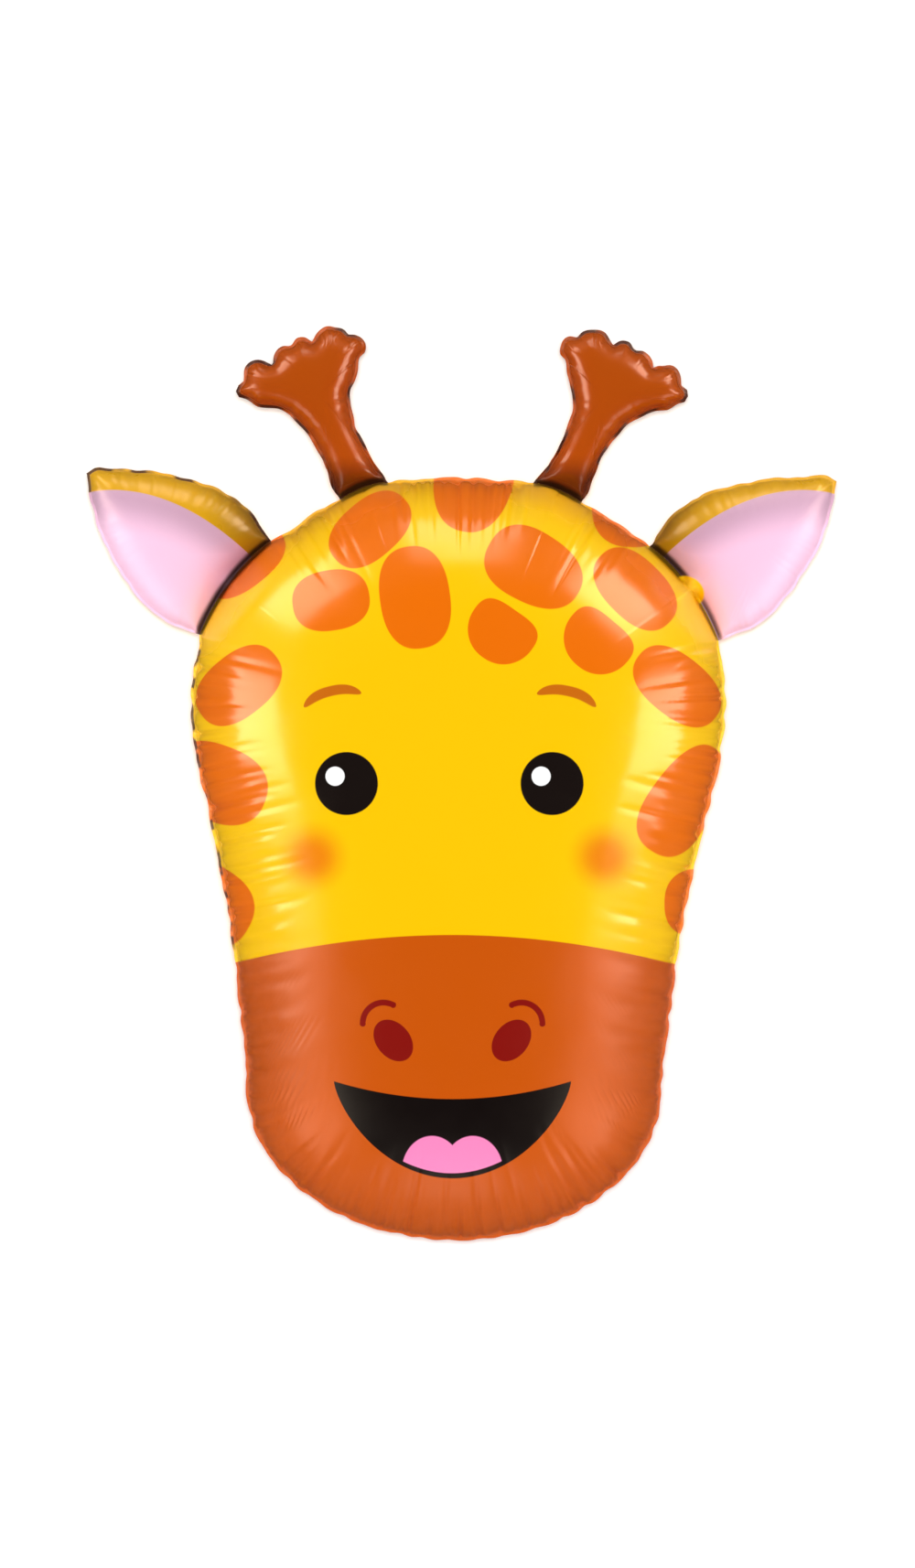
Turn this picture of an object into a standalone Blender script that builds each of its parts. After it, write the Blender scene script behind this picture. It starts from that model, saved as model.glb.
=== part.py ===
"""A foil balloon in the shape of a giraffe's head, inflated and lying on its back.

Two printed films are welded together all round by one flat seam. The ears and the horns are lobes of
the same two films, pinched off from the head by a weld across each root. The chin points to -Y, the
horns to +Y and the face looks up along +Z. The back is pressed a little flat where it rests. A balloon
is sealed, so it is one solid to its outer face, without the gas inside.
"""

import math

import bmesh
import bpy
import numpy as np
from mathutils import Vector
from mathutils.geometry import interpolate_bezier

# Driving dimensions, in metres.
BALLOON_LENGTH = 0.820  # from the chin's seam to the tops of the horns
HEAD_THICKNESS = 0.310  # front film to back film, at the middle of the head
EAR_THICKNESS = 0.074
HORN_THICKNESS = 0.052
SEAM_WIDTH = 0.0045  # the flat weld outside the gas
SEAM_THICKNESS = 0.0010
RESTING_DEPTH = 0.0025  # how much of the back's bulge the floor presses flat

# How full the films stand near the seam: 2 gives an ellipse across the balloon, more a squarer one.
FULLNESS = 2.8

# How finely the films are faceted.
SEAM_STEP = 0.0105  # between points along the seam
FAN_STEP = 0.007  # the same, round the small lobes of the horns
HEAD_RINGS = 8
LOBE_RINGS = 4
CURVE_STEPS = 24  # drawn between two knots, before the points are spaced

# The films' outline, as a free form: thousandths of the balloon's length, x from the middle line and
# y from the chin. Only the right half is given, and the left half mirrors it.
CHIN_HALF_WIDTH = 228
CHIN_HEIGHT = 167
CHEEK = (
    (228, 167), (230, 200), (237, 257), (243, 310), (254, 375),
    (268, 445), (285, 515), (293, 575), (292, 615), (284, 660),
)
EAR_UNDERSIDE = ((284, 660), (316, 671), (345, 692), (374, 730), (396, 772), (408, 815), (411, 836))
EAR_TOP = (
    (411, 836), (404, 842), (365, 841), (330, 838), (290, 829), (255, 816), (228, 794), (207, 764),
)
EAR_ROOT = ((284, 660), (270, 695), (247, 727), (207, 764))
BROW = ((207, 764), (158, 797), (133, 810))
HORN_OUTSIDE = (
    (133, 810), (141, 822), (149, 845), (161, 868), (180, 892), (203, 906), (228, 911), (237, 918),
)
# Each lobe of the horn's fan is an arc to this notch, standing this far out from its chord.
HORN_FAN = (
    ((241, 939), 9), ((209, 958), 13), ((189, 979), 6), ((165, 983), 6), ((125, 991), 13), ((112, 965), 13),
)
HORN_INSIDE = ((112, 965), (115, 945), (120, 930), (120, 910), (111, 882), (97, 856), (79, 831))
HORN_ROOT = ((133, 810), (107, 823), (79, 831))
CROWN = ((79, 831), (40, 835), (0, 836))

# Where the rings of each lobe close in, in the same thousandths.
HEAD_MIDDLE = (0, 500)
EAR_MIDDLE = (330, 765)
HORN_MIDDLE = (155, 925)

FOIL_YELLOW = (0.92, 0.55, 0.01, 1.0)


def on_plan(point):
    """A point of the outline in metres, with y from the middle of the balloon's length."""
    unit = BALLOON_LENGTH / 1000
    return Vector((point[0] * unit, (point[1] - 500) * unit, 0.0))


def mirrored(point):
    return Vector((-point.x, point.y, point.z))


def curve_through(knots):
    """A finely drawn smooth curve through the knots, with handles along the neighbours' chord."""
    knots = [on_plan(knot) for knot in knots]
    drawn = [knots[0]]
    for i, (start, end) in enumerate(zip(knots, knots[1:])):
        before = knots[i - 1] if i else start
        after = knots[i + 2] if i + 2 < len(knots) else end
        reach = (end - start).length / 3
        first_handle = start + (end - before).normalized() * reach
        last_handle = end - (after - start).normalized() * reach
        drawn += interpolate_bezier(start, first_handle, last_handle, end, CURVE_STEPS)[1:]
    return drawn


def arc_between(start, end, rise):
    """A finely drawn arc to the right of the way from start to end, standing rise off its chord."""
    chord = end - start
    outward = Vector((chord.y, -chord.x, 0.0)).normalized()
    radius = (chord.length_squared / 4 + rise * rise) / (2 * rise)
    centre = (start + end) / 2 + outward * (rise - radius)
    half_angle = math.asin(min(1.0, chord.length / (2 * radius)))
    if rise > radius:
        half_angle = math.pi - half_angle
    turn = [half_angle * (2 * k / CURVE_STEPS - 1) for k in range(CURVE_STEPS + 1)]
    along = chord.normalized()
    return [centre + along * (radius * math.sin(a)) + outward * (radius * math.cos(a)) for a in turn]


def spaced(drawn, step):
    """The drawn curve as evenly spaced points about a step apart, both ends kept."""
    lengths = [0.0]
    for a, b in zip(drawn, drawn[1:]):
        lengths.append(lengths[-1] + (b - a).length)
    count = max(2, round(lengths[-1] / step))
    points, span = [], 0
    for k in range(count + 1):
        wanted = lengths[-1] * k / count
        while span < len(drawn) - 2 and lengths[span + 1] < wanted:
            span += 1
        share = (wanted - lengths[span]) / max(lengths[span + 1] - lengths[span], 1e-12)
        points.append(drawn[span].lerp(drawn[span + 1], min(share, 1.0)))
    return points


def chin_curve():
    """The quarter ellipse from the chin's lowest point to the cheek."""
    count = 2 * CURVE_STEPS
    turns = [math.radians(90) * k / count for k in range(count + 1)]
    return [
        on_plan((CHIN_HALF_WIDTH * math.sin(a), CHIN_HEIGHT * (1 - math.cos(a)))) for a in turns
    ]


def fan_curves():
    """The lobes of the horn's fan, from the outside of the horn to the inside."""
    unit = BALLOON_LENGTH / 1000
    start = on_plan(HORN_OUTSIDE[-1])
    curves = []
    for notch, rise in HORN_FAN:
        end = on_plan(notch)
        curves.append(arc_between(start, end, rise * unit))
        start = end
    return curves


def right_half():
    """The points of the right half of the outline from the chin up, and where its corners are."""
    points, corners = [], {}

    def follow(curve, corner=None, step=SEAM_STEP):
        points.extend(spaced(curve, step)[:-1])
        if corner:
            corners[corner] = len(points)

    follow(chin_curve())
    follow(curve_through(CHEEK), "ear_low")
    follow(curve_through(EAR_UNDERSIDE))
    follow(curve_through(EAR_TOP), "ear_high")
    follow(curve_through(BROW), "horn_outer")
    follow(curve_through(HORN_OUTSIDE))
    for curve in fan_curves():
        follow(curve, step=FAN_STEP)
    follow(curve_through(HORN_INSIDE), "horn_inner")
    follow(curve_through(CROWN))
    points.append(on_plan(CROWN[-1]))
    return points, corners


def split_root(bm, low, high, root):
    """Cuts the flat inside of the seam along the weld from the corner low to the corner high."""
    inward = [Vector((a.y - b.y, b.x - a.x, 0.0)).normalized() for a, b in zip(root, root[2:])]
    coords = [p + n * SEAM_WIDTH for p, n in zip(root[1:-1], inward)]
    face = next(f for f in low.link_faces if f in high.link_faces)
    bmesh.utils.face_split(face, low, high, coords=coords)


def room_inside(places, seam):
    """How far each place is from the seam all round: none at the seam, and most in the middle.

    It is one over the sum of 1 / distance ** 2 along the seam. A straight edge of length L, which the
    place sees under an angle A from a distance D, adds A / D.
    """
    start = seam[None, :, :] - places[:, None, :]
    end = np.roll(seam, -1, axis=0)[None, :, :] - places[:, None, :]
    length = np.linalg.norm(end - start, axis=2)
    doubled_area = np.abs(start[..., 0] * end[..., 1] - start[..., 1] * end[..., 0]) + 1e-15
    angle = np.arctan2(doubled_area, (start * end).sum(axis=2))
    return 1 / (angle * length / doubled_area).sum(axis=1)


def bulge(bm, face, middle, half_thickness, rings):
    """Draws one flat lobe inward ring by ring and raises it to the shape of an inflated film."""
    seam = np.array([v.co.xy for v in face.verts])
    edges = list(face.edges)
    bmesh.ops.delete(bm, geom=[face], context="FACES_ONLY")
    share = 1.0
    film = []
    for k in range(1, rings):
        # The rings crowd at the seam, where the film is steep.
        next_share = math.cos(math.radians(90) * k / rings) ** (2 / 3)
        grown = bmesh.ops.extrude_edge_only(bm, edges=edges)["geom"]
        edges = [g for g in grown if isinstance(g, bmesh.types.BMEdge)]
        ring = [g for g in grown if isinstance(g, bmesh.types.BMVert)]
        for vertex in ring:
            vertex.co.xy = middle.xy + (vertex.co.xy - middle.xy) * (next_share / share)
        film += ring
        share = next_share
    top = bm.verts.new(middle)
    for edge in edges:
        bm.faces.new((*edge.verts, top))
    film.append(top)
    room = room_inside(np.array([v.co.xy for v in film]), seam)
    for vertex, part in zip(film, room / room.max()):
        rise = math.sqrt(1 - (1 - part) ** (FULLNESS / 2))
        vertex.co.z = SEAM_THICKNESS / 2 + half_thickness * rise


def lobe_at(bm, middle):
    """The flat face of the lobe that lies round this middle; the seam's own faces have four sides."""
    flats = [f for f in bm.faces if len(f.verts) > 4]
    return next(f for f in flats if bmesh.geometry.intersect_face_point(f, middle))


def front_half():
    """Everything above the seam's middle plane, as an open shell."""
    right, corners = right_half()
    left = [mirrored(p) for p in reversed(right[1:-1])]
    bm = bmesh.new()
    outline = [bm.verts.new(p + Vector((0, 0, SEAM_THICKNESS / 2))) for p in right + left]
    whole = bm.faces.new(outline)
    rim = list(whole.edges)
    seam = bmesh.ops.inset_region(
        bm, faces=[whole], thickness=SEAM_WIDTH, use_boundary=True, use_even_offset=True
    )["faces"]
    inner = {}
    for quad in seam:
        for edge in quad.edges:
            if edge.verts[0] in outline and edge.verts[1] not in outline:
                inner[outline.index(edge.verts[0])] = edge.verts[1]
            elif edge.verts[1] in outline and edge.verts[0] not in outline:
                inner[outline.index(edge.verts[1])] = edge.verts[0]
    level = Vector((0, 0, SEAM_THICKNESS / 2))
    for low, high, knots in (
        ("ear_low", "ear_high", EAR_ROOT),
        ("horn_outer", "horn_inner", HORN_ROOT),
    ):
        root = [p + level for p in spaced(curve_through(knots), SEAM_STEP)]
        split_root(bm, inner[corners[low]], inner[corners[high]], root)
        other_root = [mirrored(p) for p in reversed(root)]
        count = len(outline)
        split_root(bm, inner[count - corners[high]], inner[count - corners[low]], other_root)
    for middle, thickness, rings in (
        (HEAD_MIDDLE, HEAD_THICKNESS, HEAD_RINGS),
        (EAR_MIDDLE, EAR_THICKNESS, LOBE_RINGS),
        (HORN_MIDDLE, HORN_THICKNESS, LOBE_RINGS),
    ):
        spots = [on_plan(middle)]
        if middle[0] > 0:
            spots.append(mirrored(spots[0]))
        for spot in spots:
            bulge(bm, lobe_at(bm, spot), spot, (thickness - SEAM_THICKNESS) / 2, rings)
    grown = bmesh.ops.extrude_edge_only(bm, edges=rim)["geom"]
    for vertex in (g for g in grown if isinstance(g, bmesh.types.BMVert)):
        vertex.co.z = 0.0
    return bm


def envelope_mesh():
    """Both films with their seam, closed, resting on z = 0."""
    bm = front_half()
    bmesh.ops.mirror(bm, geom=bm.verts[:] + bm.edges[:] + bm.faces[:], axis="Z", merge_dist=1e-6)
    bmesh.ops.remove_doubles(bm, verts=bm.verts, dist=1e-6)
    resting = RESTING_DEPTH - HEAD_THICKNESS / 2
    cut = bmesh.ops.bisect_plane(
        bm,
        geom=bm.verts[:] + bm.edges[:] + bm.faces[:],
        plane_co=(0, 0, resting),
        plane_no=(0, 0, -1),
        clear_outer=True,
    )["geom_cut"]
    bmesh.ops.contextual_create(bm, geom=[g for g in cut if isinstance(g, bmesh.types.BMEdge)])
    bmesh.ops.translate(bm, verts=bm.verts, vec=(0, 0, -resting))
    bmesh.ops.recalc_face_normals(bm, faces=bm.faces)
    mesh = bpy.data.meshes.new("envelope")
    bm.to_mesh(mesh)
    bm.free()
    return mesh


def foil():
    """Printed metallised film: satin, with a little of the metal showing through the ink."""
    material = bpy.data.materials.new("printed_foil")
    material.use_nodes = True
    shader = material.node_tree.nodes["Principled BSDF"]
    shader.inputs["Base Color"].default_value = FOIL_YELLOW
    shader.inputs["Roughness"].default_value = 0.3
    shader.inputs["Metallic"].default_value = 0.3
    return material


def placed(name, mesh):
    obj = bpy.data.objects.new(name, mesh)
    bpy.context.scene.collection.objects.link(obj)
    return obj


def main():
    for obj in list(bpy.data.objects):
        bpy.data.objects.remove(obj)
    balloon = placed("balloon", envelope_mesh())
    balloon.data.materials.append(foil())
    balloon.data.shade_smooth()
    balloon.data.set_sharp_from_angle(angle=math.radians(50))


main()
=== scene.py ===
"""The looks of the giraffe foil balloon: both printed films, puckered along their seam."""

import math

import bmesh
import bpy
import numpy as np
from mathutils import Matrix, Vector
from mathutils.geometry import interpolate_bezier
from mathutils.kdtree import KDTree


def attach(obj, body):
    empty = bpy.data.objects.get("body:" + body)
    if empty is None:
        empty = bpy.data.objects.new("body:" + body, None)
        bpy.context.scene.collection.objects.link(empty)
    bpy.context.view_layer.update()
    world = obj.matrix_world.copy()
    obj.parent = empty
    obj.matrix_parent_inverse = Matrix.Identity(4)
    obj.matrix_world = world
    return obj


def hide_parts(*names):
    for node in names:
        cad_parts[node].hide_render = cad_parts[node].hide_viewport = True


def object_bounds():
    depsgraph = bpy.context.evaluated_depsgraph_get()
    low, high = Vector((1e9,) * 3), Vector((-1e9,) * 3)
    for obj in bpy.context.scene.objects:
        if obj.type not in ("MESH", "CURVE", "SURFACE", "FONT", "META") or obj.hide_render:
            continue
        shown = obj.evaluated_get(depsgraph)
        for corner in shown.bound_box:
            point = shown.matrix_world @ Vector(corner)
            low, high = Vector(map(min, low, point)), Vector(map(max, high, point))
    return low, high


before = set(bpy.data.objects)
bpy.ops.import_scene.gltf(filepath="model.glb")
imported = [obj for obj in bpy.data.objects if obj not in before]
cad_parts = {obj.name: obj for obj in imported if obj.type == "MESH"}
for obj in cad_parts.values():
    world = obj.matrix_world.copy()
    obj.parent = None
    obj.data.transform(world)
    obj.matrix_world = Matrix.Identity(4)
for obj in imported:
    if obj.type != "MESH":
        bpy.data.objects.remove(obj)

cad_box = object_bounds()
LOW, HIGH = (Vector(corner) for corner in cad_box)
LENGTH = HIGH.y - LOW.y  # from the chin to the tops of the horns
UNIT = LENGTH / 1000  # the print and the roots are placed in thousandths of the length

# The seam and the mesh of the films, in metres.
FINE = 1e-5  # two points closer than this are one
NEAR_SEAM = 0.001  # the seam's upright faces lie this close to its height
SEAM_WIDTH = 0.0024
ROOT_WIDTH = 0.0010  # a root's weld is a crease, not a flat strip
ROOT_FADE = 0.012  # how far from a weld the seam has its full width again
COLUMN = 0.0012  # between points along the seam, fine enough for the smallest pucker
COARSE = 3  # every third of them is enough to shape the dome
CORNER_TURN = math.radians(38)  # a sharper turn of the seam stays a corner
FULLNESS = 2.8  # as in the solid: how full the films stand near the seam
HEAD_RINGS, EAR_RINGS, HORN_RINGS = 38, 16, 14
EAR_HALF, HORN_HALF = 0.037, 0.026  # half the thickness of an ear and of a horn
HEAD_MIDDLE, EAR_MIDDLE, HORN_MIDDLE = (0, 500), (330, 765), (155, 925)
# The weld across each root: its two ends on the seam, and how far it bows away from the head.
EAR_ROOT = ((284, 660), (207, 764), 9)
HORN_ROOT = ((133, 810), (79, 831), 3)

CHUNK = 6000  # places worked on at a time
TINY = 1e-15  # keeps a division by an area from failing on the edge itself
FILM = 0.0004  # between the two films at the inner edge of the seam
FILM_RUN = 1.07  # the film's own curved length over the straight distance

# Creases as (spacing, depth, width, (shortest, longest)), in metres.
BIG_CREASES = (0.034, 0.0016, 0.0036, (0.080, 0.180))
LONG_CREASES = (0.0080, 0.0017, 0.0016, (0.108, 0.175))
SMALL_CREASES = (0.0066, 0.0007, 0.0014, (0.040, 0.110))
LOBE_SHARE = (1.0, 0.45, 0.6)  # how much of the creases the head, the ears and the horns show
SEAM_GATHERS = (0.020, 0.0014, 0.0050, (0.01, 0.01))
SEAM_WEAVE = ((0.014, 0.0006, 0.4), (0.0225, 0.0005, 2.1), (0.039, 0.0006, 4.0))
SEAM_SEED, FRONT_SEED, BACK_SEED = 5, 11, 12
CREASE_START = 0.010
DEEPEST = 0.35  # a crease goes no deeper than this share of the film's height above the seam
RIDGE_FADE = (0.5, 1.3)  # how fast creases die towards the middle of the head and of the others
CHANNEL_HEIGHT, CHANNEL_HALF, CHANNEL_LENGTH = 0.038, 0.0105, 0.014  # the gas's way into an ear
LEFT_CHANNEL = 0.018  # the left ear's is flatter
GATHER_REACH = 0.030
FLOOR_EASE = 0.002

# The camera looks straight down from a long way off, and takes the balloon as long as it is in a
# picture of this height.
PICTURE_HEIGHT, PICTURED_LENGTH = 1714, 999
VIEW_HEIGHT = PICTURE_HEIGHT / PICTURED_LENGTH * LENGTH
PRINT_TURN = math.radians(0.66)
CAMERA_LENS, CAMERA_SENSOR, CAMERA_SEES = 300.0, 36.0, 100

# Each lamp has one job: far ones light the inks, and a ring of low ones shows on the film. Groups
# of lamps as (what they show in, distance, height, size, colour, {direction in degrees: watts}).
LAMP_AIM = (0, 0.10, 0.2)
NEUTRAL, WARM = (1.0, 1.0, 1.0), (1.0, 0.86, 0.68)
LAMPS = (
    ("diffuse", 0.0, 13.0, (0.6, 0.6), NEUTRAL, {0: 1310}),
    ("diffuse", 3.0, 0.70, (1.5, 0.8), NEUTRAL, {0: 20, 90: 20, 180: 20, 270: 20}),
    ("glossy", 1.8, 0.62, (0.75, 1.15), WARM, {
        0: 28, 45: 31, 90: 15, 135: 24, 180: 28, 220: 11, 270: 3, 320: 11,
    }),
)
BELOW_FLOOR = (0.06, 0.05, 0.04, 1)
ROOM_LIGHT = (
    (0.04, (0.24, 0.23, 0.21, 1)), (0.35, (0.24, 0.24, 0.23, 1)), (0.60, (0.12, 0.12, 0.12, 1)),
    (1.0, (0.12, 0.12, 0.12, 1)),
)
FLOOR_HALF = 6

# The print's own measures, in thousandths of the length.
EDGE = (1.03, 0.97)  # the softness of a printed edge, as a spot's distance
LINE, ARCH_EDGE = 0.5, 0.02  # the same for a line, and for an arch or a stroke
SPOT_POWER = 2.4  # a little squarer than an oval
MUZZLE_ARCH = (-6, 337, 33.5 / 242**2)
BLUSH_MIDDLES, BLUSH_SIZE = (-156, 159), (421, 44, 44)
EYES = ((-120, -132.3), (102.2, 90.3))  # the middles of an eye and of its white dot
EYE_SIZE, DOT_SIZE = (500.5, 34.1, 34.1), (508.4, 10.4, 10.4)
BROWS = ((-135.1, 591.1, 32.3, 13.5), (117.8, 590.9, 33.0, -12.2))
BROW_BOW, BROW_THICK = 0.295, 0.38  # as shares of a brow's half length
BOW_POWER, END_POWER = 2.4, 5.0
NOSTRILS = ((-69.4, -80.0, -1), (58.3, 69.3, 1))  # the middles of a hole and of its stroke, the side
NOSTRIL_SIZE, NOSTRIL_TURN = (222.8, 25.2, 18.3), 50
ARC_UP, ARC_HALF, ARC_STROKE = 241.4, 22.4, 6.4
ARC_ENDS = (math.radians(-1.5), math.radians(118))
MOUTH_MIDDLE, MOUTH_HALF = -5.4, 128.4
CORNER_UP, LIP_UP, JAW_UP, JAW_POWER = 178.2, 159.4, 72.5, 0.7
TONGUE_MIDDLES, TONGUE_HALF = (-27.6, 16.5), (79.6, 32.8, 39.5)
TONGUE_FLOOR = (-5.9, 78.2, -0.0046)
CHANNEL_PRINT = (252, 711, 19, 15, -37)
CHANNEL_TOP = (700, 722)
CROWN_UP, CROWN_REACH = (730, 800), (0.105, 0.030)  # the painted shade at the crown; its reach is from the seam, in metres
LEFT_DASHES = ((312, 328), (676, 660))  # the painted shade's dashes along the seam, fading in and out again up the left side
BAND_ARCH, BAND_SHADOW = (378, 821, 0.0031), (-52, -4)
# how far across the painted shade on the ears spreads, and where the left ear's tip has painted shade
# at its seam
EAR_SHADED, LEFT_TIP = (205, 295), (-394, -398)
# where the painted shade at a horn's foot begins and ends
HORN_FOOT = (862, 826)
# Spots as x, y, half length, half width, turn in degrees, taper and bow.
SPOTS = (
    (-232, 742, 50, 28, 38, 0, 0),
    (-95, 777, 50, 32, 42, 0, 0),
    (15, 820, 47, 42, -102, 0.2, 0),
    (-137, 699, 42, 33, 9, 0, 0),
    (-46, 702, 56, 38, 98, 0, 0),
    (83, 734, 55, 39, -30, 0.08, 0),
    (47, 664, 38, 31, -35, 0, 0.25),
    (151, 654, 39, 31, -40, 0, 0.25),
    (193, 712, 52, 33, -45, 0, 0),
    (189, 800, 42, 42, 0, 0, 0),
    (-238, 607, 52, 34, 38, 0, 0),
    (-263, 501, 58, 42, -20, 0, 0),
    (-271, 368, 50, 43, -30, 0, 0),
    (239, 606, 54, 33, -38, 0, 0),
    (246, 483, 66, 36, 58, 0.15, 0),
    (262, 370, 37, 37, 0, 0, 0),
)
BACK_SPOTS = (
    (-150, 560, 50, 38, 20, 0.1, 0),
    (-40, 590, 48, 38, 80, 0, 0),
    (70, 560, 46, 36, -15, 0, 0),
    (150, 540, 44, 34, 100, 0.1, 0),
    (-100, 450, 46, 38, 10, 0, 0.2),
    (10, 470, 46, 40, 30, 0, 0),
    (110, 440, 44, 36, -20, 0.1, 0),
    (-160, 380, 38, 30, 15, 0, 0),
    (50, 380, 40, 28, 0, 0.1, 0),
)

# The skin of the film. Lengths are in metres: patches of rubbed varnish, crinkles finer than the
# creases, and the reach of the painted shade along the welds and along parts of the seam.
RUBBED_PATCH, CRINKLE, CRINKLE_DEPTH = 0.030, 0.0040, 0.00002
RUBBED_SMOOTHER, RUBBED_ROUGHER = 0.03, 0.04
# how far the painted shade reaches from the welds, on the head and on the ears and horns
HEAD_WELD_DARK, ROOT_WELD_DARK = 0.0022, 0.006
SEAM_SHADE_EDGE = (0.0036, 0.0028)
METAL, VARNISH_IOR = 0.01, 1.38
SEALED_MATT = 0.26  # how much rougher the sealing bar has left the film at the seam
MATT_INK, PINK_MATT = 0.14, 1.4  # the brown ink is so much rougher, and the pink by this many times
# The roughness of the varnish, and how far from the seam it is matt.
HEAD_SKIN, EAR_SKIN, HORN_SKIN = (0.20, 0.034), (0.24, 0.012), (0.22, 0.010)
SMOOTH = {"interpolation_type": "SMOOTHSTEP"}

# The print's colours, as sRGB.
YELLOW = "#FFC800"
# painted shade: the yellow darkened at the crown's edge, where the film turns down
CROWN_PAINTED_SHADE = "#D97E00"
ORANGE = "#EE7000"
MUZZLE = "#CB5500"
HORN_BROWN = "#B24A03"
# painted shade at a horn's foot
FOOT_PAINTED_SHADE = "#4A1A08"
# painted shade along parts of the seam
SEAM_PAINTED_SHADE = "#35120A"
EYE_BLACK = "#140B08"
WHITE = "#FFFFFF"
BROW_BROWN = "#CC6A0C"
BLUSH = "#F08200"
NOSTRIL_RED = "#880B04"
MOUTH_BLACK = "#080000"
TONGUE_PINK = "#FF8AC2"
EAR_PINK = "#FFCDEB"
# painted shade on the ears' pink
EAR_PINK_PAINTED_SHADE = "#A67E94"
# painted shade in the creases at the roots' welds
CREASE_PAINTED_SHADE = "#2A120C"
EAR_GOLD = "#DFA50A"
EAR_BACK_GOLD = "#E9B107"
# painted shade on the ears' gold
GOLD_PAINTED_SHADE = "#8A6410"


def linear(colour):
    """An sRGB hex value as Blender's linear colour."""
    parts = [int(colour[i : i + 2], 16) / 255 for i in (1, 3, 5)]
    return [c / 12.92 if c <= 0.04045 else ((c + 0.055) / 1.055) ** 2.4 for c in parts] + [1.0]


# The seam, read from the solid.
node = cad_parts["balloon"]


def merged_copy(source):
    bm = bmesh.new()
    bm.from_mesh(source.data)
    bmesh.ops.remove_doubles(bm, verts=bm.verts, dist=FINE)
    return bm


def seam_outline(bm):
    """The solid's outline in order, against the clock from the chin, and the seam's height."""
    tip = max(v.co.x for v in bm.verts)
    tips = [v.co.z for v in bm.verts if v.co.x > tip - FINE]
    height = (min(tips) + max(tips)) / 2
    upright = [f for f in bm.faces if abs(f.normal.z) < FINE]
    walls = [f for f in upright if abs(f.calc_center_median().z - height) < NEAR_SEAM]
    onward = {}
    for edge in {e for f in walls for e in f.edges}:
        if all(v.co.z > height for v in edge.verts):
            for vertex in edge.verts:
                onward.setdefault(vertex, []).append(edge.other_vert(vertex))
    chin = min(onward, key=lambda v: v.co.y)
    loop = [chin, max(onward[chin], key=lambda v: v.co.x)]
    while loop[-1] is not chin:
        last, before = loop[-1], loop[-2]
        loop.append(next(v for v in onward[last] if v is not before))
    return [Vector((v.co.x, v.co.y, 0.0)) for v in loop[:-1]], height


def refined(outline):
    """The outline as a smooth curve that keeps its corners, in even steps of a column."""
    count = len(outline)
    turned = []
    for i, here in enumerate(outline):
        back, on = here - outline[i - 1], outline[(i + 1) % count] - here
        turned.append(abs(back.xy.angle_signed(on.xy)) > CORNER_TURN)
    points = []
    for i in range(count):
        before, start = outline[i - 1], outline[i]
        end, after = outline[(i + 1) % count], outline[(i + 2) % count]
        reach = (end - start).length / 3
        leaving = end - (start if turned[i] else before)
        coming = (end if turned[(i + 1) % count] else after) - start
        first = start + leaving.normalized() * reach
        last = end - coming.normalized() * reach
        steps = max(2, round((end - start).length / COLUMN)) + 1
        points += interpolate_bezier(start, first, last, end, steps)[:-1]
    return points


solid = merged_copy(node)
outline, SEAM_Z = seam_outline(solid)
solid.free()
seam = refined(outline)
seam_places = np.array([p.xy for p in seam])
STEP_LENGTH = np.linalg.norm(np.roll(seam_places, -1, axis=0) - seam_places, axis=1)
seam_run = np.concatenate([[0], np.cumsum(STEP_LENGTH)[:-1]])
seam_length = STEP_LENGTH.sum()
on_seam = {tuple(p.xy) for p in seam}


def on_plan(point):
    return Vector((point[0] * UNIT, LOW.y + point[1] * UNIT, 0.0))


def nearest(point):
    return int(np.argmin(((seam_places - np.array(on_plan(point).xy)) ** 2).sum(axis=1)))


def weld(start, end, bow):
    """The points of a root's weld between two points of the seam, without its ends."""
    chord = end - start
    side = Vector((chord.y, -chord.x, 0.0)).normalized() * bow
    count = round(chord.length / COLUMN)
    shares = [k / count for k in range(1, count)]
    return [start + chord * s + side * (4 * s * (1 - s)) for s in shares]


def flip(point):
    return (-point[0], point[1])


def lobes():
    """Each lobe as (name, its seam and weld in order, middle, half thickness, rings)."""
    count = len(seam)
    ear_low, ear_high = nearest(EAR_ROOT[0]), nearest(EAR_ROOT[1])
    horn_out, horn_in = nearest(HORN_ROOT[0]), nearest(HORN_ROOT[1])
    far_ear_high, far_ear_low = nearest(flip(EAR_ROOT[1])), nearest(flip(EAR_ROOT[0]))
    far_horn_in, far_horn_out = nearest(flip(HORN_ROOT[1])), nearest(flip(HORN_ROOT[0]))

    def stretch(a, b):
        return [seam[i % count] for i in range(a, b + 1)]

    def root(a, b, kind):
        return weld(seam[a], seam[b], kind[2] * UNIT)

    roots = {
        "right_ear": root(ear_low, ear_high, EAR_ROOT),
        "right_horn": root(horn_out, horn_in, HORN_ROOT),
        "left_horn": root(far_horn_in, far_horn_out, HORN_ROOT),
        "left_ear": root(far_ear_high, far_ear_low, EAR_ROOT),
    }
    ends = {
        "right_ear": (ear_low, ear_high),
        "right_horn": (horn_out, horn_in),
        "left_horn": (far_horn_in, far_horn_out),
        "left_ear": (far_ear_high, far_ear_low),
    }
    head, at = [], 0
    for name, (a, b) in ends.items():
        head += stretch(at, a) + roots[name]
        at = b
    head += stretch(at, count - 1)
    made = [("head", head, on_plan(HEAD_MIDDLE), HIGH.z - SEAM_Z, HEAD_RINGS)]
    for name, (a, b) in ends.items():
        loop = stretch(a, b) + roots[name][::-1]
        half, rings = (EAR_HALF, EAR_RINGS) if "ear" in name else (HORN_HALF, HORN_RINGS)
        middle = EAR_MIDDLE if "ear" in name else HORN_MIDDLE
        if name.startswith("left"):
            middle = flip(middle)
        made.append((name, loop, on_plan(middle), half, rings))
    return made


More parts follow.
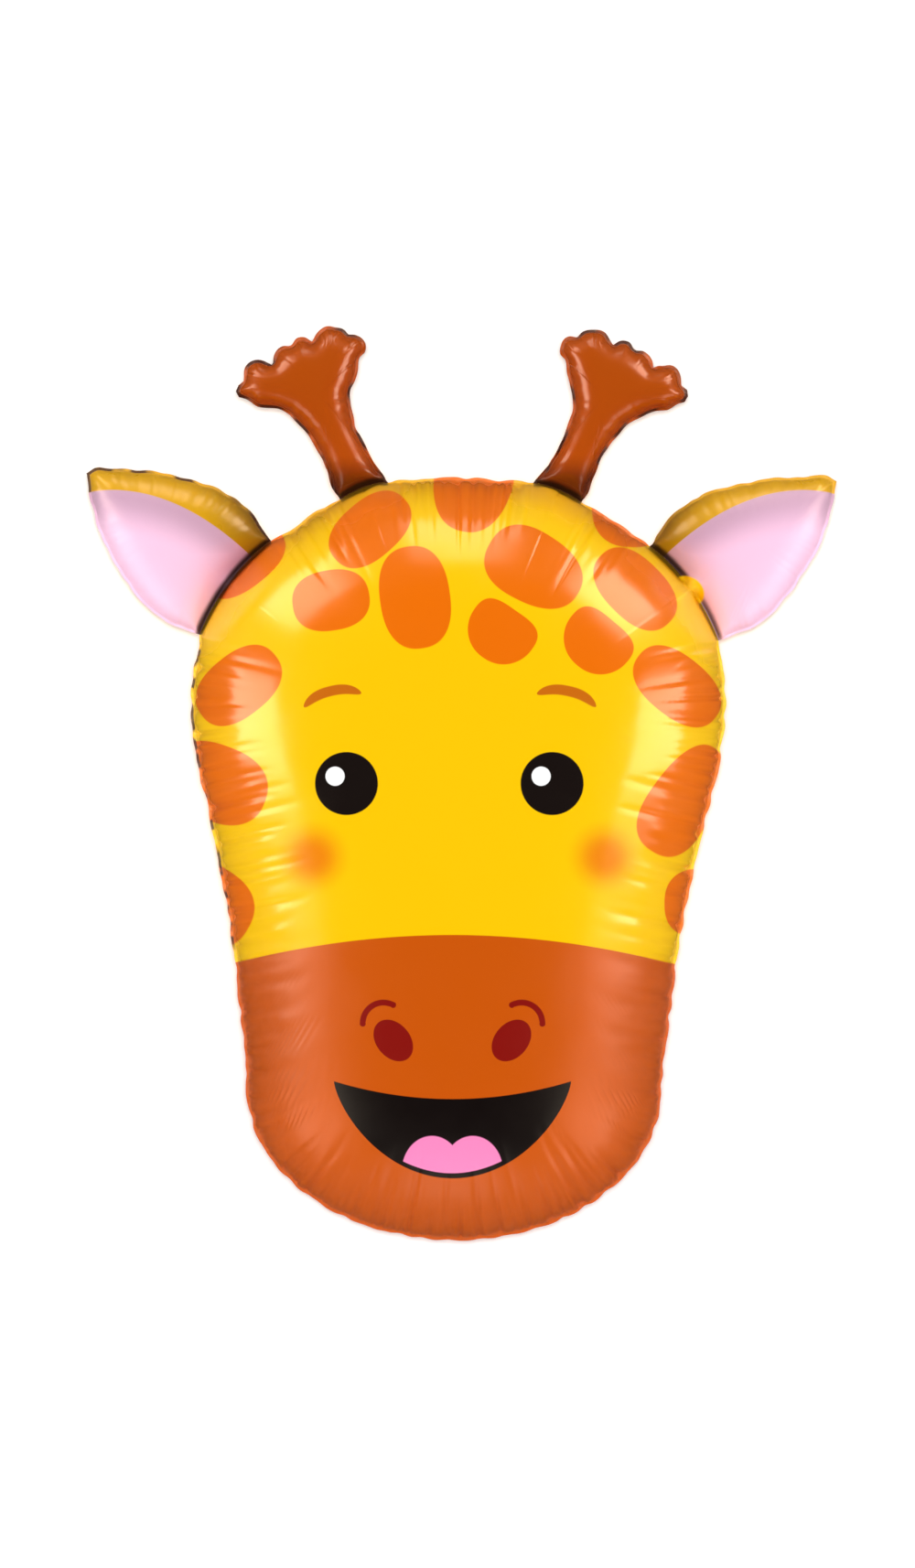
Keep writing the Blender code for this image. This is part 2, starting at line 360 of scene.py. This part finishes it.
def room_inside(places, edge):
    """How far each place is from a closed edge all round: one over the sum of 1 / distance ** 2."""
    room = np.empty(len(places))
    for at in range(0, len(places), CHUNK):
        start = edge[None, :, :] - places[at : at + CHUNK, None, :]
        end = np.roll(start, -1, axis=1)
        length = np.linalg.norm(end - start, axis=2)
        doubled_area = np.abs(start[..., 0] * end[..., 1] - start[..., 1] * end[..., 0]) + TINY
        angle = np.arctan2(doubled_area, (start * end).sum(axis=2))
        room[at : at + CHUNK] = 1 / (angle * length / doubled_area).sum(axis=1)
    return room


def eased(share):
    """From 0 to 1 with a soft start and end."""
    share = np.clip(share, 0, 1)
    return share * share * (3 - 2 * share)


def inner_edge(places, middle, edge, wanted):
    """Each place drawn straight towards the middle until it is a weld's width inside the edge."""
    ray = middle - places
    near, far = np.zeros(len(places)), np.full(len(places), 0.3)
    for _ in range(14):
        tried = (near + far) / 2
        short = room_inside(places + ray * tried[:, None], edge) < wanted
        near, far = np.where(short, tried, near), np.where(short, far, tried)
    return places + ray * far[:, None]


def channels(places):
    """The low hump over the middle of each ear's weld, where the gas goes through."""
    lift = np.zeros(len(places))
    for side, height in ((1, CHANNEL_HEIGHT), (-1, LEFT_CHANNEL)):
        low, high = (np.array(on_plan((side * x, y)).xy) for x, y in EAR_ROOT[:2])
        chord = (high - low) / np.linalg.norm(high - low)
        away = places - (low + high) / 2
        across = (away @ chord) / CHANNEL_HALF
        through = (away @ np.array([-chord[1], chord[0]])) / CHANNEL_LENGTH
        lift += height * np.exp(-across ** 2 - through ** 2)
    return np.where(lift > FILM, lift, 0)


def cut_film():
    """One film filled to its dome, in metres above the seam, as a mesh with a lobe's kind per face."""
    bm = bmesh.new()
    fill = bm.verts.layers.float.new("fill")
    corners = {}

    def corner(point):
        key = (round(point.x, 7), round(point.y, 7))
        if key not in corners:
            corners[key] = bm.verts.new(point)
        return corners[key]

    parts = lobes()
    welds = np.array([p.xy for _, loop, *_ in parts[1:] for p in loop if tuple(p.xy) not in on_seam])

    def gap_to_weld(places):
        gap = np.empty(len(places))
        for at in range(0, len(places), CHUNK):
            away = places[at : at + CHUNK, None, :] - welds[None, :, :]
            gap[at : at + CHUNK] = np.linalg.norm(away, axis=2).min(axis=1)
        return gap

    def width_at(places):
        wide = SEAM_WIDTH - ROOT_WIDTH
        return (ROOT_WIDTH + wide * eased(gap_to_weld(places) / ROOT_FADE)) / math.pi

    faces = [bm.faces.new([corner(p) for p in loop]) for _, loop, *_ in parts]
    for face, (name, loop, middle, half, rings) in zip(faces, parts):
        kind = 0 if name == "head" else 1 if "ear" in name else 2
        edge = np.array([p.xy for p in loop])[::COARSE]
        edges = list(face.edges)
        bmesh.ops.delete(bm, geom=[face], context="FACES_ONLY")
        centre = np.array(middle.xy)
        share, raised = 1.0, []
        for k in range(rings):
            grown = bmesh.ops.extrude_edge_only(bm, edges=edges)["geom"]
            edges = [g for g in grown if isinstance(g, bmesh.types.BMEdge)]
            ring = [g for g in grown if isinstance(g, bmesh.types.BMVert)]
            places = np.array([v.co.xy for v in ring])
            if k == 0:
                places = inner_edge(places, centre, edge, width_at(places))
            else:
                next_share = math.cos(math.radians(90) * k / rings) ** (2 / 3)
                places = centre + (places - centre) * (next_share / share)
                share = next_share
            raised += ring
            for vertex, place in zip(ring, places):
                vertex.co.xy = place
            for face in (g for g in grown if isinstance(g, bmesh.types.BMFace)):
                face.material_index = kind
        top = bm.verts.new(middle)
        for e in edges:
            bm.faces.new((*e.verts, top)).material_index = kind
        raised.append(top)
        places = np.array([v.co.xy for v in raised])
        room, least = room_inside(places, edge), width_at(places)
        part = np.clip((room - least) / (room.max() - least), 0, 1)
        rise = FILM / 2 + half * np.sqrt(1 - (1 - part) ** (FULLNESS / 2))
        for vertex, height, filled in zip(raised, rise, part):
            vertex.co.z = height
            vertex[fill] = filled
    places = np.array([v.co.xy for v in bm.verts])
    lift = channels(places)
    from_weld = bm.verts.layers.float.new("from_weld")
    for vertex, gap, more in zip(bm.verts, gap_to_weld(places), lift):
        vertex[from_weld] = gap
        vertex.co.z = math.hypot(vertex.co.z, more)
    bmesh.ops.recalc_face_normals(bm, faces=bm.faces)
    if sum(f.normal.z for f in bm.faces) < 0:
        bmesh.ops.reverse_faces(bm, faces=bm.faces)
    return bm


def beside_seam(bm):
    """Each point's place along the seam, its distance from it on the film, and the way inward."""
    tree = KDTree(len(seam))
    for i, point in enumerate(seam):
        tree.insert(point, i)
    tree.balance()
    spots = np.array([v.co for v in bm.verts])
    found = np.array([tree.find((x, y, 0))[1] for x, y, _ in spots])
    best = np.full(len(spots), np.inf)
    along = np.zeros(len(spots))
    for start in (found - 1, found):
        a = seam_places[start]
        step = seam_places[(start + 1) % len(seam)] - a
        share = np.clip(((spots[:, :2] - a) * step).sum(axis=1) / (step ** 2).sum(axis=1), 0, 1)
        off = np.linalg.norm(spots[:, :2] - a - step * share[:, None], axis=1)
        closer = off < best
        best = np.where(closer, off, best)
        along = np.where(closer, (seam_run[start] + share * STEP_LENGTH[start]) % seam_length, along)
    tangent = np.roll(seam_places, -2, axis=0) - np.roll(seam_places, 2, axis=0)
    tangent /= np.linalg.norm(tangent, axis=1)[:, None]
    inward = np.stack([-tangent[:, 1], tangent[:, 0]], axis=1)[found]
    return spots, along, FILM_RUN * np.hypot(best, spots[:, 2]), inward


def creases(rng, spacing, depth, width, reach):
    """Creases at uneven steps along the seam, as rows of place, depth, width and length."""
    count = round(seam_length / spacing)
    place = (np.arange(count) + rng.uniform(-0.38, 0.38, count)) * seam_length / count
    return np.stack([
        place,
        depth * rng.uniform(0.35, 1.5, count),
        width * rng.uniform(0.7, 1.4, count),
        reach[0] + (reach[1] - reach[0]) * rng.uniform(0, 1, count) ** 1.6,
    ], axis=1)


def pressed(rows, along, run, widen):
    """How deep the creases press the film at each point: narrow at the seam, wider further in."""
    order = np.argsort(along)
    ranked = along[order]
    depth_here = np.zeros(len(along))
    for place, depth, width, length in rows:
        for turn in (-seam_length, 0, seam_length):
            side = 3.5 * width * (1 + length / widen)
            first, last = np.searchsorted(ranked, (place + turn - side, place + turn + side))
            pick = order[first:last]
            spread = width * (1 + run[pick] / widen)
            across = (along[pick] - place - turn) / spread
            fade = np.clip(1 - (run[pick] / length) ** 3, 0, 1)
            depth_here[pick] += depth * fade * np.exp(-across * across / 2)
    return depth_here


def pucker(bm, side, seed):
    """Presses the creases into a film, and lays it on its own side of the seam."""
    rng = np.random.default_rng(seed)
    shared = np.random.default_rng(SEAM_SEED)
    fill = bm.verts.layers.float["fill"]
    filled = np.array([v[fill] for v in bm.verts])
    lobe = np.array([min(f.material_index for f in v.link_faces) for v in bm.verts])
    spots, along, run, inward = beside_seam(bm)
    bm.normal_update()
    normals = np.array([v.normal for v in bm.verts])
    big = creases(shared, *BIG_CREASES)
    gathers = creases(shared, *SEAM_GATHERS)
    small = creases(rng, *SMALL_CREASES)
    long = creases(rng, *LONG_CREASES)
    weld = bm.verts.layers.float["from_weld"]
    weld_run = np.hypot(np.array([v[weld] for v in bm.verts]), spots[:, 2]) - ROOT_WIDTH
    start = eased((np.minimum(run - SEAM_WIDTH * FILM_RUN, weld_run)) / CREASE_START)
    ridge = np.clip(1 - filled, 0, 1) ** RIDGE_FADE[0]
    ridge = np.where(lobe > 0, ridge ** (RIDGE_FADE[1] / RIDGE_FADE[0]), ridge)
    ridge *= np.array(LOBE_SHARE)[lobe]
    depth = pressed(big, along, run, 0.200)
    depth += pressed(long, along, run, 0.400) + pressed(small, along, run, 0.400)
    depth = np.minimum(depth * start * ridge, DEEPEST * spots[:, 2])
    spots -= normals * depth[:, None]
    from_seam = bm.verts.layers.float.new("from_seam")
    for vertex, distance in zip(bm.verts, run):
        vertex[from_seam] = distance
    near = np.clip(1 - run / GATHER_REACH, 0, 1) ** 1.5
    zero = np.zeros(len(run))
    tucked = pressed(gathers, along, zero, 1.0) * near
    spots[:, :2] += inward * tucked[:, None]
    weave = sum(
        size * np.sin(2 * math.pi * (round(seam_length / wave) * along / seam_length) + phase)
        for wave, size, phase in SEAM_WEAVE
    )
    spots[:, 2] = SEAM_Z + side * spots[:, 2] + weave * near
    if side < 0:
        low = spots[:, 2]
        spots[:, 2] = (low + np.sqrt(low * low + FLOOR_EASE ** 2)) / 2
        bmesh.ops.reverse_faces(bm, faces=bm.faces)
    for vertex, spot in zip(bm.verts, spots):
        vertex.co = spot
    return bm


def piece(name, bm, materials):
    mesh = bpy.data.meshes.new(name)
    bm.to_mesh(mesh)
    bm.free()
    mesh.shade_smooth()
    for material in materials:
        mesh.materials.append(material)
    made = bpy.data.objects.new(name, mesh)
    bpy.context.scene.collection.objects.link(made)
    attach(made, "root")
    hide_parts("balloon")
    return made


# The print, laid out on the film in thousandths of the balloon's length: right and up from the
# film's middle line and chin, before the small turn that the print has on the film. A distance
# becomes a mask in a Map Range node, from just outside a printed edge to just inside it.


def adder(tree):
    """The function that adds nodes to one node tree."""

    def add(kind, inputs, output=0, **settings):
        """Adds one node with its settings, and with its inputs as sockets or plain values."""
        made = tree.nodes.new("ShaderNode" + kind)
        for key, value in settings.items():
            setattr(made, key, value)
        for key, value in inputs.items() if isinstance(inputs, dict) else enumerate(inputs):
            if isinstance(value, bpy.types.NodeSocket):
                tree.links.new(value, made.inputs[key])
            else:
                made.inputs[key].default_value = value
        return made if output is None else made.outputs[output]

    return add


def foil(name, paint, satin, sealed_reach):
    """Nylon film with a metal layer, printed: saturated inks under a satin skin.

    The metal shows only as a trace of shine, the varnish gives broad soft highlights that end in
    fingers at the creases, and patches of rubbed varnish and fine crinkles break them up a little.
    The heat of the sealing bar has left the film matt along the seam and the roots' welds, and
    the brown ink of the muzzle is matter than the others.
    """
    material = bpy.data.materials.new(name)
    material.use_nodes = True
    material.node_tree.nodes.clear()
    add = adder(material.node_tree)
    where = add("TexCoord", (), "Object")
    on_print = ((0, 500, 0), (0, 0, -PRINT_TURN), (1 / UNIT, 1 / UNIT, 0))
    place = add("Mapping", (where, *on_print))
    from_seam = add("Attribute", (), "Fac", attribute_name="from_seam")
    from_weld = add("Attribute", (), "Fac", attribute_name="from_weld")
    ground, inks, matter = paint(add, place, from_seam, from_weld)
    colour = linear(ground)
    for mask, ink in inks:
        colour = add("Mix", {0: mask, 6: colour, 7: linear(ink)}, 2, data_type="RGBA")

    rubbed = add("TexNoise", {"Vector": where, "Scale": 1 / RUBBED_PATCH, "Detail": 3.0})
    rough = add("MapRange", (rubbed, 0.3, 0.7, satin - RUBBED_SMOOTHER, satin + RUBBED_ROUGHER))
    rough = add("Math", (matter, MATT_INK, rough), operation="MULTIPLY_ADD")
    sealed = add("Math", (from_seam, from_weld), operation="MINIMUM")
    matt = add("MapRange", (sealed, sealed_reach, 0.0, 0.0, SEALED_MATT), **SMOOTH)
    rough = add("Math", (rough, matt), operation="ADD")
    crinkle = add("TexNoise", {"Vector": where, "Scale": 1 / CRINKLE, "Detail": 2.0, "Roughness": 0.6})
    skin = add("Bump", {"Height": crinkle, "Strength": 0.6, "Distance": CRINKLE_DEPTH}, "Normal")
    shader = add("BsdfPrincipled", {
        "Base Color": colour,
        "Metallic": METAL,
        "Roughness": rough,
        "IOR": VARNISH_IOR,
        "Normal": skin,
    }, "BSDF")
    add("OutputMaterial", {"Surface": shader}, None)
    return material


def egg(add, place, x, y, long, short, turn=0.0, taper=0.0, bow=0.0, power=2.0):
    """How far a place is out from a spot's middle, as a power: 1 on its edge.

    The spot is narrower towards the far end of its long side by the taper, and bowed by the bow.
    """
    frame_of_spot = ((x, y, 0), (0, 0, math.radians(turn)), (long, short, 1))
    local = add("Mapping", (place, *frame_of_spot), vector_type="TEXTURE")
    along, side = add("SeparateXYZ", (local,), None).outputs[:2]
    if taper:
        narrow = add("Math", (along, taper, 1.0), operation="MULTIPLY_ADD")
        side = add("Math", (side, narrow), operation="MULTIPLY")
    if bow:
        bent = add("Math", (along, along), operation="MULTIPLY")
        bent = add("Math", (bent, -bow, bow / 3), operation="MULTIPLY_ADD")
        side = add("Math", (side, bent), operation="ADD")
    out = []
    for part in (along, side):
        size = add("Math", (part,), operation="ABSOLUTE")
        out.append(add("Math", (size, power), operation="POWER"))
    return add("Math", out, operation="ADD")


def over_arch(add, place, x, y, bend):
    """How far a place is above an arch whose top is at x, y."""
    across, up = add("SeparateXYZ", (place,), None).outputs[:2]
    off = add("Math", (across, x), operation="SUBTRACT")
    off = add("Math", (off, off), operation="MULTIPLY")
    rise = add("Math", (off, bend, up), operation="MULTIPLY_ADD")
    return add("Math", (rise, y), operation="SUBTRACT")


def spotted(add, place, spots):
    """The mask of the spots."""
    nearest_spot = egg(add, place, *spots[0], SPOT_POWER)
    for spot in spots[1:]:
        out = egg(add, place, *spot, SPOT_POWER)
        nearest_spot = add("Math", (nearest_spot, out), operation="MINIMUM")
    return add("MapRange", (nearest_spot, *EDGE))


def brow(add, place, x, y, half, turn):
    """The mask of a brow: a bowed stroke with round ends."""
    frame_of_brow = ((x, y, 0), (0, 0, math.radians(turn)), (half, half, 1))
    local = add("Mapping", (place, *frame_of_brow), vector_type="TEXTURE")
    across, up = add("SeparateXYZ", (local,), None).outputs[:2]
    across = add("Math", (across,), operation="ABSOLUTE")
    bow = add("Math", (across, BOW_POWER), operation="POWER")
    bow = add("Math", (bow, -BROW_BOW, BROW_BOW), operation="MULTIPLY_ADD")
    off = add("Math", (up, bow), operation="SUBTRACT")
    off = add("Math", (off,), operation="ABSOLUTE")
    room = add("Math", (across, END_POWER), operation="POWER")
    room = add("Math", (1.0, room), operation="SUBTRACT")
    room = add("Math", (room, 0.0), operation="MAXIMUM")
    room = add("Math", (room, 0.5), operation="POWER")
    outside = add("Math", (room, -BROW_THICK / 2, off), operation="MULTIPLY_ADD")
    return add("MapRange", (outside, 0.0, -2 * ARCH_EDGE))


def nostril_stroke(add, place, x, lean):
    """The masks of a short round-ended stroke over a nostril, from its outer side to its top."""
    out = egg(add, place, x, ARC_UP, ARC_HALF, ARC_HALF)
    out = add("Math", (out, 0.5), operation="POWER")
    out = add("Math", (out, 1.0), operation="SUBTRACT")
    out = add("Math", (out,), operation="ABSOLUTE")
    half = ARC_STROKE / 2 / ARC_HALF
    ring = add("MapRange", (out, half + ARCH_EDGE, half - ARCH_EDGE))
    across, up = add("SeparateXYZ", (place,), None).outputs[:2]
    first, last = ARC_ENDS
    towards = Vector((lean * math.cos((first + last) / 2), math.sin((first + last) / 2)))
    cut = towards.dot((x, ARC_UP)) + ARC_HALF * math.cos((last - first) / 2)
    side = add("Math", (across, towards.x), operation="MULTIPLY")
    side = add("Math", (up, towards.y, side), operation="MULTIPLY_ADD")
    kept = add("MapRange", (side, cut - LINE, cut + LINE))
    masks = [add("Math", (ring, kept), operation="MULTIPLY")]
    for turn in ARC_ENDS:
        end = (x + lean * ARC_HALF * math.cos(turn), ARC_UP + ARC_HALF * math.sin(turn))
        tip = egg(add, place, *end, ARC_STROKE / 2, ARC_STROKE / 2)
        masks.append(add("MapRange", (tip, 1.2, 0.8)))
    return masks


def smile(add, place):
    """The masks of an open mouth and of the tongue in it."""
    across, up = add("SeparateXYZ", (place,), None).outputs[:2]
    off = add("Math", (across, MOUTH_MIDDLE), operation="SUBTRACT")
    off = add("Math", (off, MOUTH_HALF), operation="DIVIDE")
    square = add("Math", (off, off), operation="MULTIPLY")
    room = add("Math", (1.0, square), operation="SUBTRACT")
    room = add("Math", (room, 0.0), operation="MAXIMUM")
    depth = add("Math", (room, JAW_POWER), operation="POWER")
    lip = add("Math", (square, CORNER_UP - LIP_UP, LIP_UP), operation="MULTIPLY_ADD")
    jaw = add("Math", (depth, JAW_UP - CORNER_UP, CORNER_UP), operation="MULTIPLY_ADD")
    above = add("Math", (up, lip), operation="SUBTRACT")
    below = add("Math", (jaw, up), operation="SUBTRACT")
    outside = add("Math", (above, below), operation="MAXIMUM")
    opened = add("MapRange", (outside, LINE, -LINE))
    between_corners = add("MapRange", (square, 1.004, 0.996))
    opened = add("Math", (opened, between_corners), operation="MULTIPLY")
    halves = [egg(add, place, x, *TONGUE_HALF) for x in TONGUE_MIDDLES]
    tongue = add("Math", halves, operation="MINIMUM")
    tongue = add("MapRange", (tongue, *EDGE))
    over_teeth = over_arch(add, place, *TONGUE_FLOOR)
    above_floor = add("MapRange", (over_teeth, -LINE, LINE))
    tongue = add("Math", (tongue, above_floor), operation="MULTIPLY")
    return opened, add("Math", (tongue, opened), operation="MULTIPLY")


def painted_weld_shade(add, from_weld, reach, where_dark):
    """The mask of the painted shade along a root's weld crease."""
    dark = add("MapRange", (from_weld, reach, reach * 0.3, 0.0, 0.93), **SMOOTH)
    return add("Math", (dark, where_dark), operation="MULTIPLY")


def painted_seam_shade(add, from_seam, where_dark):
    """The mask of the painted shade that shows along parts of the seam."""
    rim = add("MapRange", (from_seam, *SEAM_SHADE_EDGE, 0.0, 0.95))
    return add("Math", (rim, where_dark), operation="MULTIPLY")


def root_shade_strength(add, across, up):
    """The painted shade at the ears' welds is darkest above the gas channel on the right, and all
    along on the left.
    """
    above = add("MapRange", (up, *CHANNEL_TOP, 0.7, 1.0))
    left = add("MapRange", (across, 1, -1, 0.7, 1.0))
    return add("Math", (above, left), operation="MAXIMUM")


def paint_face(add, place, from_seam, from_weld):
    """Yellow with spots, painted shade at the crown, and a brown muzzle under eyes, brows and blushes.

    Painted shade shows in dashes along the left side's seam, and painted shade darkens the ears'
    welds but for the hump where the gas goes through.
    """
    across, up = add("SeparateXYZ", (place,), None).outputs[:2]
    # painted shade at the crown, darker towards the seam where the film turns down
    down = add("MapRange", (from_seam, *CROWN_REACH, 0.0, 0.38), **SMOOTH)
    crown = add("MapRange", (up, *CROWN_UP))
    crown = add("Math", (down, crown), operation="MULTIPLY")
    inks = [(crown, CROWN_PAINTED_SHADE), (spotted(add, place, SPOTS), ORANGE)]
    for x in BLUSH_MIDDLES:
        out = add("Math", (egg(add, place, x, *BLUSH_SIZE), 0.5), operation="POWER")
        inks.append((add("MapRange", (out, 1.0, 0.15, 0.0, 0.95), **SMOOTH), BLUSH))
    for eye, dot in EYES:
        inks.append((add("MapRange", (egg(add, place, eye, *EYE_SIZE), *EDGE)), EYE_BLACK))
        inks.append((add("MapRange", (egg(add, place, dot, *DOT_SIZE), 1.06, 0.94)), WHITE))
    inks += [(brow(add, place, *size), BROW_BROWN) for size in BROWS]
    muzzle = add("MapRange", (over_arch(add, place, *MUZZLE_ARCH), LINE, -LINE))
    inks.append((muzzle, MUZZLE))
    for hole, arc, lean in NOSTRILS:
        out = egg(add, place, hole, *NOSTRIL_SIZE, NOSTRIL_TURN * lean)
        masks = [add("MapRange", (out, *EDGE)), *nostril_stroke(add, place, arc, lean)]
        inks += [(mask, NOSTRIL_RED) for mask in masks]
    opened, tongue = smile(add, place)
    inks += [(opened, MOUTH_BLACK), (tongue, TONGUE_PINK)]
    # painted shade in dashes along the left side's seam
    left_side = add("MapRange", (across, -145, -155))
    for low, high in LEFT_DASHES:
        within = add("MapRange", (up, low, high))
        left_side = add("Math", (left_side, within), operation="MULTIPLY")
    dashes = add("TexNoise", {"Vector": place, "Scale": 0.06, "Detail": 1.0})
    dashes = add("MapRange", (dashes, 0.45, 0.55))
    dashes = add("Math", (dashes, left_side), operation="MULTIPLY")
    inks.append((painted_seam_shade(add, from_seam, dashes), SEAM_PAINTED_SHADE))
    # painted shade along the ears' welds, but for the hump where the gas goes through
    beside_hump = add("MapRange", (egg(add, place, *CHANNEL_PRINT), 0.88, 1.12))
    dark = add("Math", (beside_hump, root_shade_strength(add, across, up)), operation="MULTIPLY")
    inks.append((painted_weld_shade(add, from_weld, HEAD_WELD_DARK, dark), CREASE_PAINTED_SHADE))
    return YELLOW, inks, muzzle


def paint_back(add, place, from_seam, from_weld):
    """The plainer print on the back: spots and a brown muzzle, without a face."""
    muzzle = add("MapRange", (over_arch(add, place, *MUZZLE_ARCH), LINE, -LINE))
    inks = [(spotted(add, place, SPOTS + BACK_SPOTS), ORANGE), (muzzle, MUZZLE)]
    return YELLOW, inks, muzzle


def paint_ear(add, place, from_seam, from_weld):
    """Pink with a gold band along the upper edge, with painted shade towards the head and under the
    band.
    """
    across, up = add("SeparateXYZ", (place,), None).outputs[:2]
    out = add("Math", (across,), operation="ABSOLUTE")
    above = over_arch(add, add("CombineXYZ", (out, up)), *BAND_ARCH)
    # painted shade: the pink darker towards the head and under the band, the gold towards the head
    shade = add("MapRange", (out, *EAR_SHADED, 0.95, 0.0), **SMOOTH)
    under_band = add("MapRange", (above, *BAND_SHADOW, 0.0, 0.62), **SMOOTH)
    pink_painted_shade = add("Math", (shade, under_band), operation="MAXIMUM")
    band = add("MapRange", (above, -LINE, LINE))
    gold_painted_shade = add("Math", (band, shade), operation="MULTIPLY")
    # painted shade along the ear's weld
    weld_shade = painted_weld_shade(add, from_weld, ROOT_WELD_DARK, root_shade_strength(add, across, up))
    hump = add("MapRange", (egg(add, place, *CHANNEL_PRINT), 1.12, 0.88))
    # painted shade in dashes along the left ear's gold edge, and at its tip
    dashes = add("TexNoise", {"Vector": place, "Scale": 0.035, "Detail": 1.0})
    dashes = add("MapRange", (dashes, 0.47, 0.57))
    left_ear = add("MapRange", (across, 1, -1))
    dashes = add("Math", (dashes, left_ear), operation="MULTIPLY")
    tip = add("MapRange", (across, *LEFT_TIP))
    dashes = add("Math", (dashes, tip), operation="MAXIMUM")
    dashes = add("Math", (dashes, band), operation="MULTIPLY")
    matter = add("Math", (PINK_MATT, band), operation="SUBTRACT")
    inks = [
        (pink_painted_shade, EAR_PINK_PAINTED_SHADE), (band, EAR_GOLD), (gold_painted_shade, GOLD_PAINTED_SHADE), (weld_shade, CREASE_PAINTED_SHADE),
        (hump, YELLOW), (painted_seam_shade(add, from_seam, dashes), SEAM_PAINTED_SHADE),
    ]
    return EAR_PINK, inks, matter


def paint_ear_back(add, place, from_seam, from_weld):
    """Gold all over, with painted shade towards the head."""
    across = add("SeparateXYZ", (place,))
    out = add("Math", (across,), operation="ABSOLUTE")
    shade = add("MapRange", (out, *EAR_SHADED, 0.6, 0.0), **SMOOTH)
    return EAR_BACK_GOLD, [(shade, GOLD_PAINTED_SHADE)], 0.0


def paint_horn(add, place, from_seam, from_weld):
    """Brown, with painted shade at the foot and in patches along the seam."""
    up = add("SeparateXYZ", (place,), 1)
    # painted shade at the horn's foot
    foot = add("MapRange", (up, *HORN_FOOT, 0.0, 0.85), **SMOOTH)
    # painted shade along the horn's weld
    weld_shade = painted_weld_shade(add, from_weld, ROOT_WELD_DARK, 1.0)
    # painted shade in patches along the horn's seam
    patches = add("TexNoise", {"Vector": place, "Scale": 0.03, "Detail": 1.0})
    patches = add("MapRange", (patches, 0.44, 0.56))
    rim = painted_seam_shade(add, from_seam, patches)
    return HORN_BROWN, [(foot, FOOT_PAINTED_SHADE), (weld_shade, CREASE_PAINTED_SHADE), (rim, SEAM_PAINTED_SHADE)], 0.0


front_face = foil("printed_nylon_foil_face", paint_face, *HEAD_SKIN)
ear_front = foil("printed_nylon_foil_ear", paint_ear, *EAR_SKIN)
back_head = foil("printed_nylon_foil_back", paint_back, *HEAD_SKIN)
ear_back = foil("printed_nylon_foil_ear_back", paint_ear_back, *EAR_SKIN)
horn_print = foil("printed_nylon_foil_horn", paint_horn, *HORN_SKIN)

dome = cut_film()
front = pucker(dome.copy(), 1, FRONT_SEED)
back = pucker(dome.copy(), -1, BACK_SEED)
dome.free()
piece("front_film", front, (front_face, ear_front, horn_print))
piece("back_film", back, (back_head, ear_back, horn_print))


def camera():
    data = bpy.data.cameras.new("camera")
    data.lens = CAMERA_LENS
    data.sensor_width = CAMERA_SENSOR
    data.clip_end = CAMERA_SEES
    made = bpy.data.objects.new("camera", data)
    made.location = (0, 0, SEAM_Z + VIEW_HEIGHT * CAMERA_LENS / CAMERA_SENSOR)
    made.rotation_euler = (0, 0, PRINT_TURN)
    bpy.context.scene.collection.objects.link(made)
    bpy.context.scene.camera = made


def softbox(shows, distance, height, size, colour, turn, power):
    """A soft lamp for one job: to light the inks, or to show as a highlight on the film."""
    name = f"{shows}_{height}_{turn}"
    data = bpy.data.lights.new(name, "AREA")
    data.shape = "RECTANGLE"
    data.size, data.size_y = size
    data.energy = power
    data.color = colour
    made = bpy.data.objects.new(name, data)
    away = Vector((math.cos(math.radians(turn)), math.sin(math.radians(turn)), 0))
    made.location = Vector((*LAMP_AIM[:2], height)) + away * distance
    made.rotation_euler = (Vector(LAMP_AIM) - made.location).to_track_quat("-Z", "Y").to_euler()
    made.visible_diffuse = shows == "diffuse"
    made.visible_glossy = shows == "glossy"
    bpy.context.scene.collection.objects.link(made)


def floor():
    """A plain sheet that the film doesn't mirror, so that the seam's rim keeps its colours."""
    bm = bmesh.new()
    bmesh.ops.create_grid(bm, x_segments=1, y_segments=1, size=FLOOR_HALF)
    mesh = bpy.data.meshes.new("floor")
    bm.to_mesh(mesh)
    bm.free()
    paint = bpy.data.materials.new("matt_white_paper")
    paint.use_nodes = True
    shader = paint.node_tree.nodes["Principled BSDF"]
    shader.inputs["Base Color"].default_value = linear(WHITE)
    shader.inputs["Roughness"].default_value = 0.9
    mesh.materials.append(paint)
    made = bpy.data.objects.new("floor", mesh)
    made.visible_glossy = False
    bpy.context.scene.collection.objects.link(made)


def studio():
    """The room around the lamps: dim overhead, brighter low down, and dark below the floor."""
    world = bpy.data.worlds.new("studio")
    world.use_nodes = True
    world.node_tree.nodes.clear()
    add = adder(world.node_tree)
    toward = add("TexCoord", (), "Generated")
    ramp = add("ValToRGB", (add("SeparateXYZ", (toward,), 2),), None)
    stops = ramp.color_ramp.elements
    stops[0].color = BELOW_FLOOR
    stops[1].position, stops[1].color = 1.0, ROOM_LIGHT[-1][1]
    for at, colour in ROOM_LIGHT[:-1]:
        stops.new(at).color = colour
    room = add("Background", {"Color": ramp.outputs[0]})
    add("OutputWorld", {"Surface": room}, None)
    bpy.context.scene.world = world
    bpy.context.scene.view_settings.view_transform = "Standard"


camera()
floor()
for *lamp, directions in LAMPS:
    for turn, power in directions.items():
        softbox(*lamp, turn, power)
studio()
